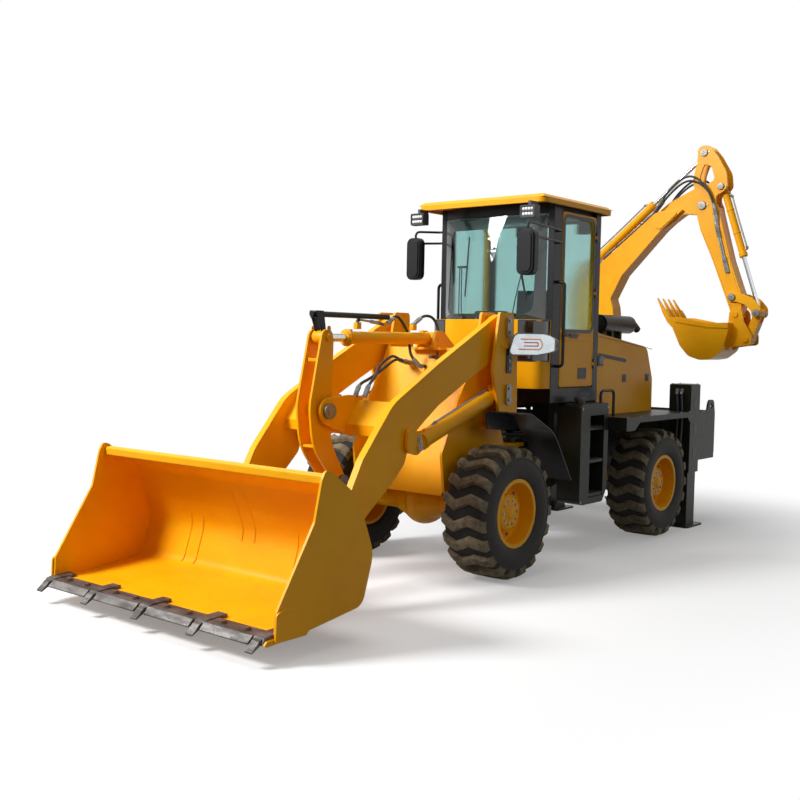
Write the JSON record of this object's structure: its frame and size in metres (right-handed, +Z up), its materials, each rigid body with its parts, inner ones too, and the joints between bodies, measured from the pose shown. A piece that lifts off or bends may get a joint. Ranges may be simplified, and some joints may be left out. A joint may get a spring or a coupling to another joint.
{
  "type": "articulated backhoe loader",
  "caption": "Frame-steered machine with a wide front loader bucket on lift arms, a glazed cab, rear engine, stabiliser legs and a side-shift backhoe arm",
  "frame": {"origin": "on the ground below the middle of the bounding box of the whole machine as parked", "axes": "+X forward toward the loader bucket, +Y to the operator's left, +Z up"},
  "size_m": [7.4, 2.511, 4.112],
  "materials": {
    "yellow_enamel": "glossy orange-yellow machine enamel",
    "olive_black_enamel": "satin olive-black enamel",
    "black_enamel": "satin black enamel",
    "tyre_rubber": "dusty black rubber",
    "chrome_rod": "ground hard chrome",
    "grey_steel": "bare worn steel",
    "tinted_glass": "teal-tinted safety glass",
    "seat_vinyl": "black grained vinyl",
    "lamp_plastic": "clear-fronted lamps in black housings"
  },
  "bodies": {
    "chassis": {"rear_frame": "olive_black_enamel", "rear_axle": "yellow_enamel", "rear_fenders": "olive_black_enamel", "tanks": "olive_black_enamel", "engine_block": "olive_black_enamel", "hood": "yellow_enamel", "rear_grille": "black_enamel", "muffler": "black_enamel", "cab_frame": "black_enamel", "cab_panels": "yellow_enamel", "cab_glass": "tinted_glass", "roof": "yellow_enamel", "seat": "seat_vinyl", "controls": "black_enamel", "lamps": "lamp_plastic", "mirrors": "black_enamel", "handrails": "black_enamel", "slide_frame": "olive_black_enamel"},
    "front": {"front_frame": "yellow_enamel", "front_axle": "yellow_enamel", "front_fenders": "black_enamel", "headlamps": "lamp_plastic"},
    "wheel_front_left": {"tyre_front_left": "tyre_rubber", "rim_front_left": "yellow_enamel"},
    "wheel_front_right": {"tyre_front_right": "tyre_rubber", "rim_front_right": "yellow_enamel"},
    "wheel_rear_left": {"tyre_rear_left": "tyre_rubber", "rim_rear_left": "yellow_enamel"},
    "wheel_rear_right": {"tyre_rear_right": "tyre_rubber", "rim_rear_right": "yellow_enamel"},
    "arms": {"loader_arms": "yellow_enamel"},
    "bucket_hinge": {"bucket_pins": "grey_steel"},
    "bucket": {"loader_bucket": "yellow_enamel", "bucket_teeth": "grey_steel"},
    "rocker_hinge": {"rocker_shaft": "grey_steel"},
    "rocker_lever": {"rocker": "yellow_enamel"},
    "link_hinge": {"link_pin": "grey_steel"},
    "link": {"bucket_link": "yellow_enamel"},
    "lift_barrel_pair": {"lift_barrels": "yellow_enamel"},
    "lift_rod_pair": {"lift_rods": "chrome_rod"},
    "tilt_barrel_body": {"tilt_barrel": "yellow_enamel"},
    "tilt_rod_body": {"tilt_rod": "chrome_rod", "level_rod": "black_enamel"},
    "cab_door": {"door": "yellow_enamel", "door_glass": "tinted_glass"},
    "leg_left": {"stabiliser_left": "olive_black_enamel"},
    "leg_right": {"stabiliser_right": "olive_black_enamel"},
    "side_carriage": {"carriage": "yellow_enamel"},
    "post": {"swing_post": "yellow_enamel"},
    "hoe_boom": {"boom": "yellow_enamel"},
    "boom_barrel": {"boom_ram_barrel": "yellow_enamel"},
    "boom_rod": {"boom_ram_rod": "chrome_rod"},
    "hoe_dipper": {"dipper": "yellow_enamel"},
    "dipper_barrel": {"dipper_ram_barrel": "yellow_enamel"},
    "dipper_rod": {"dipper_ram_rod": "chrome_rod"},
    "guide": {"guide_link": "yellow_enamel"},
    "push": {"push_link": "yellow_enamel"},
    "hoe_tool": {"hoe_bucket": "yellow_enamel"},
    "tool_barrel": {"hoe_bucket_ram_barrel": "yellow_enamel"},
    "tool_rod": {"hoe_bucket_ram_rod": "chrome_rod"}
  },
  "joints": [
    {"name": "wheel_front_left_spin", "type": "hinge", "parent": "front", "child": "wheel_front_left", "pos_m": [0.708, 0.678, 0.5375], "axis": [0, 1, 0], "continuous": true},
    {"name": "wheel_front_right_spin", "type": "hinge", "parent": "front", "child": "wheel_front_right", "pos_m": [0.708, -0.872, 0.5375], "axis": [0, 1, 0], "continuous": true},
    {"name": "wheel_rear_left_spin", "type": "hinge", "parent": "chassis", "child": "wheel_rear_left", "pos_m": [-1.962, 0.678, 0.5375], "axis": [0, 1, 0], "continuous": true},
    {"name": "wheel_rear_right_spin", "type": "hinge", "parent": "chassis", "child": "wheel_rear_right", "pos_m": [-1.962, -0.872, 0.5375], "axis": [0, 1, 0], "continuous": true},
    {"name": "articulation", "type": "hinge", "parent": "chassis", "child": "front", "pos_m": [-0.627, -0.097, 0.78], "axis": [0, 0, 1], "range_deg": [-35, 35]},
    {"name": "loader_lift", "type": "hinge", "parent": "front", "child": "arms", "pos_m": [0.453, -0.097, 2.045], "axis": [0, -1, 0], "range_deg": [-3, 62]},
    {"name": "bucket_carry", "type": "hinge", "parent": "arms", "child": "bucket_hinge", "pos_m": [2.558, -0.097, 0.29], "axis": [0, -1, 0], "range_deg": [-49.7, 2.5]},
    {"name": "bucket_tilt", "type": "hinge", "parent": "bucket_hinge", "child": "bucket", "pos_m": [2.558, -0.097, 0.29], "axis": [0, -1, 0], "range_deg": [-42, 42]},
    {"name": "rocker_carry", "type": "hinge", "parent": "arms", "child": "rocker_hinge", "pos_m": [2.038, -0.097, 1.365], "axis": [0, -1, 0], "range_deg": [-1.22, 23.16]},
    {"name": "rocker_turn", "type": "hinge", "parent": "rocker_hinge", "child": "rocker_lever", "pos_m": [2.038, -0.097, 1.365], "axis": [0, -1, 0], "range_deg": [-18.58, 18.58]},
    {"name": "link_carry", "type": "hinge", "parent": "rocker_lever", "child": "link_hinge", "pos_m": [1.823, -0.097, 0.805], "axis": [0, -1, 0], "range_deg": [-29.67, 1.53]},
    {"name": "link_turn", "type": "hinge", "parent": "link_hinge", "child": "link", "pos_m": [1.823, -0.097, 0.805], "axis": [0, -1, 0], "range_deg": [-14.59, 14.59]},
    {"name": "tilt_barrel_swing", "type": "hinge", "parent": "front", "child": "tilt_barrel_body", "pos_m": [0.653, -0.097, 1.925], "axis": [0, -1, 0], "range_deg": [-3.21, 64.39]},
    {"name": "tilt_rod_slide", "type": "slide", "parent": "tilt_barrel_body", "child": "tilt_rod_body", "axis": [1, 0, -0.0074], "range_m": [-0.1779, 0.1779]},
    {"name": "lift_barrel_swing", "type": "hinge", "parent": "front", "child": "lift_barrel_pair", "pos_m": [0.443, -0.097, 1.487], "axis": [0, -1, 0], "range_deg": [-2.89, 57.76]},
    {"name": "lift_rod_slide", "type": "slide", "parent": "lift_barrel_pair", "child": "lift_rod_pair", "axis": [0.9466, 0, -0.3225], "range_m": [-0.0278, 0.5653]},
    {"name": "door_swing", "type": "hinge", "parent": "chassis", "child": "cab_door", "pos_m": [-1.06, 0.531, 2.3], "axis": [0, 0, 1], "range_deg": [0, 95]},
    {"name": "stabiliser_left_slide", "type": "slide", "parent": "chassis", "child": "leg_left", "axis": [0, 0, 1], "range_m": [-0.1, 0.5]},
    {"name": "stabiliser_right_slide", "type": "slide", "parent": "chassis", "child": "leg_right", "axis": [0, 0, 1], "range_m": [-0.1, 0.5]},
    {"name": "side_shift", "type": "slide", "parent": "chassis", "child": "side_carriage", "axis": [0, 1, 0], "range_m": [0, 1.44]},
    {"name": "swing", "type": "hinge", "parent": "side_carriage", "child": "post", "pos_m": [-3.467, -0.832, 1], "axis": [0, 0, 1], "range_deg": [0, 180]},
    {"name": "boom_swing", "type": "hinge", "parent": "post", "child": "hoe_boom", "pos_m": [-3.467, -0.852, 1.38], "axis": [-1, 0, 0], "range_deg": [-3, 78]},
    {"name": "boom_barrel_swing", "type": "hinge", "parent": "post", "child": "boom_barrel", "pos_m": [-3.467, -0.682, 0.95], "axis": [-1, 0, 0], "range_deg": [-2.29, 57.16]},
    {"name": "boom_rod_slide", "type": "slide", "parent": "boom_barrel", "child": "boom_rod", "axis": [0, 0.0927, 0.9957], "range_m": [-0.4593, 0.0181]},
    {"name": "dipper_swing", "type": "hinge", "parent": "hoe_boom", "child": "hoe_dipper", "pos_m": [-3.467, 0.546, 3.46], "axis": [1, 0, 0], "range_deg": [-12, 65]},
    {"name": "dipper_barrel_swing", "type": "hinge", "parent": "hoe_boom", "child": "dipper_barrel", "pos_m": [-3.467, -0.837, 2.868], "axis": [1, 0, 0], "range_deg": [-1.32, 6.72]},
    {"name": "dipper_rod_slide", "type": "slide", "parent": "dipper_barrel", "child": "dipper_rod", "axis": [0, 0.7654, 0.6435], "range_m": [-0.601, 0.1114]},
    {"name": "hoe_bucket_turn", "type": "hinge", "parent": "hoe_dipper", "child": "hoe_tool", "pos_m": [-3.467, 0.975, 2.255], "axis": [1, 0, 0], "range_deg": [-15, 95]},
    {"name": "guide_turn", "type": "hinge", "parent": "hoe_dipper", "child": "guide", "pos_m": [-3.467, 0.93, 2.444], "axis": [1, 0, 0], "range_deg": [-12.7, 79.9]},
    {"name": "push_turn", "type": "hinge", "parent": "guide", "child": "push", "pos_m": [-3.467, 1.208, 2.272], "axis": [1, 0, 0], "range_deg": [-40.95, 6.55]},
    {"name": "tool_barrel_swing", "type": "hinge", "parent": "hoe_dipper", "child": "tool_barrel", "pos_m": [-3.467, 0.753, 3.653], "axis": [1, 0, 0], "range_deg": [-1.12, 6.56]},
    {"name": "tool_rod_slide", "type": "slide", "parent": "tool_barrel", "child": "tool_rod", "axis": [0, 0.3129, -0.9498], "range_m": [-0.3984, 0.0633]}
  ],
  "couplings": [
    {"joint": "bucket_carry", "follows": "loader_lift", "ratio": -0.8},
    {"joint": "rocker_carry", "follows": "loader_lift", "ratio": 0.372},
    {"joint": "rocker_turn", "follows": "bucket_tilt", "ratio": -0.44},
    {"joint": "link_carry", "follows": "loader_lift", "ratio": -0.477},
    {"joint": "link_turn", "follows": "bucket_tilt", "ratio": 0.345},
    {"joint": "tilt_barrel_swing", "follows": "loader_lift", "ratio": 1.037},
    {"joint": "tilt_rod_slide", "follows": "bucket_tilt", "m_per_rad": 0.242},
    {"joint": "lift_barrel_swing", "follows": "loader_lift", "ratio": 0.93},
    {"joint": "lift_rod_slide", "follows": "loader_lift", "m_per_rad": 0.5219},
    {"joint": "boom_barrel_swing", "follows": "boom_swing", "ratio": 0.7316},
    {"joint": "boom_rod_slide", "follows": "boom_swing", "m_per_rad": -0.337},
    {"joint": "dipper_barrel_swing", "follows": "dipper_swing", "ratio": 0.1019},
    {"joint": "dipper_rod_slide", "follows": "dipper_swing", "m_per_rad": -0.5293},
    {"joint": "guide_turn", "follows": "hoe_bucket_turn", "ratio": 0.84},
    {"joint": "push_turn", "follows": "hoe_bucket_turn", "ratio": -0.43},
    {"joint": "tool_barrel_swing", "follows": "hoe_bucket_turn", "ratio": 0.068},
    {"joint": "tool_rod_slide", "follows": "hoe_bucket_turn", "m_per_rad": -0.24}
  ]
}
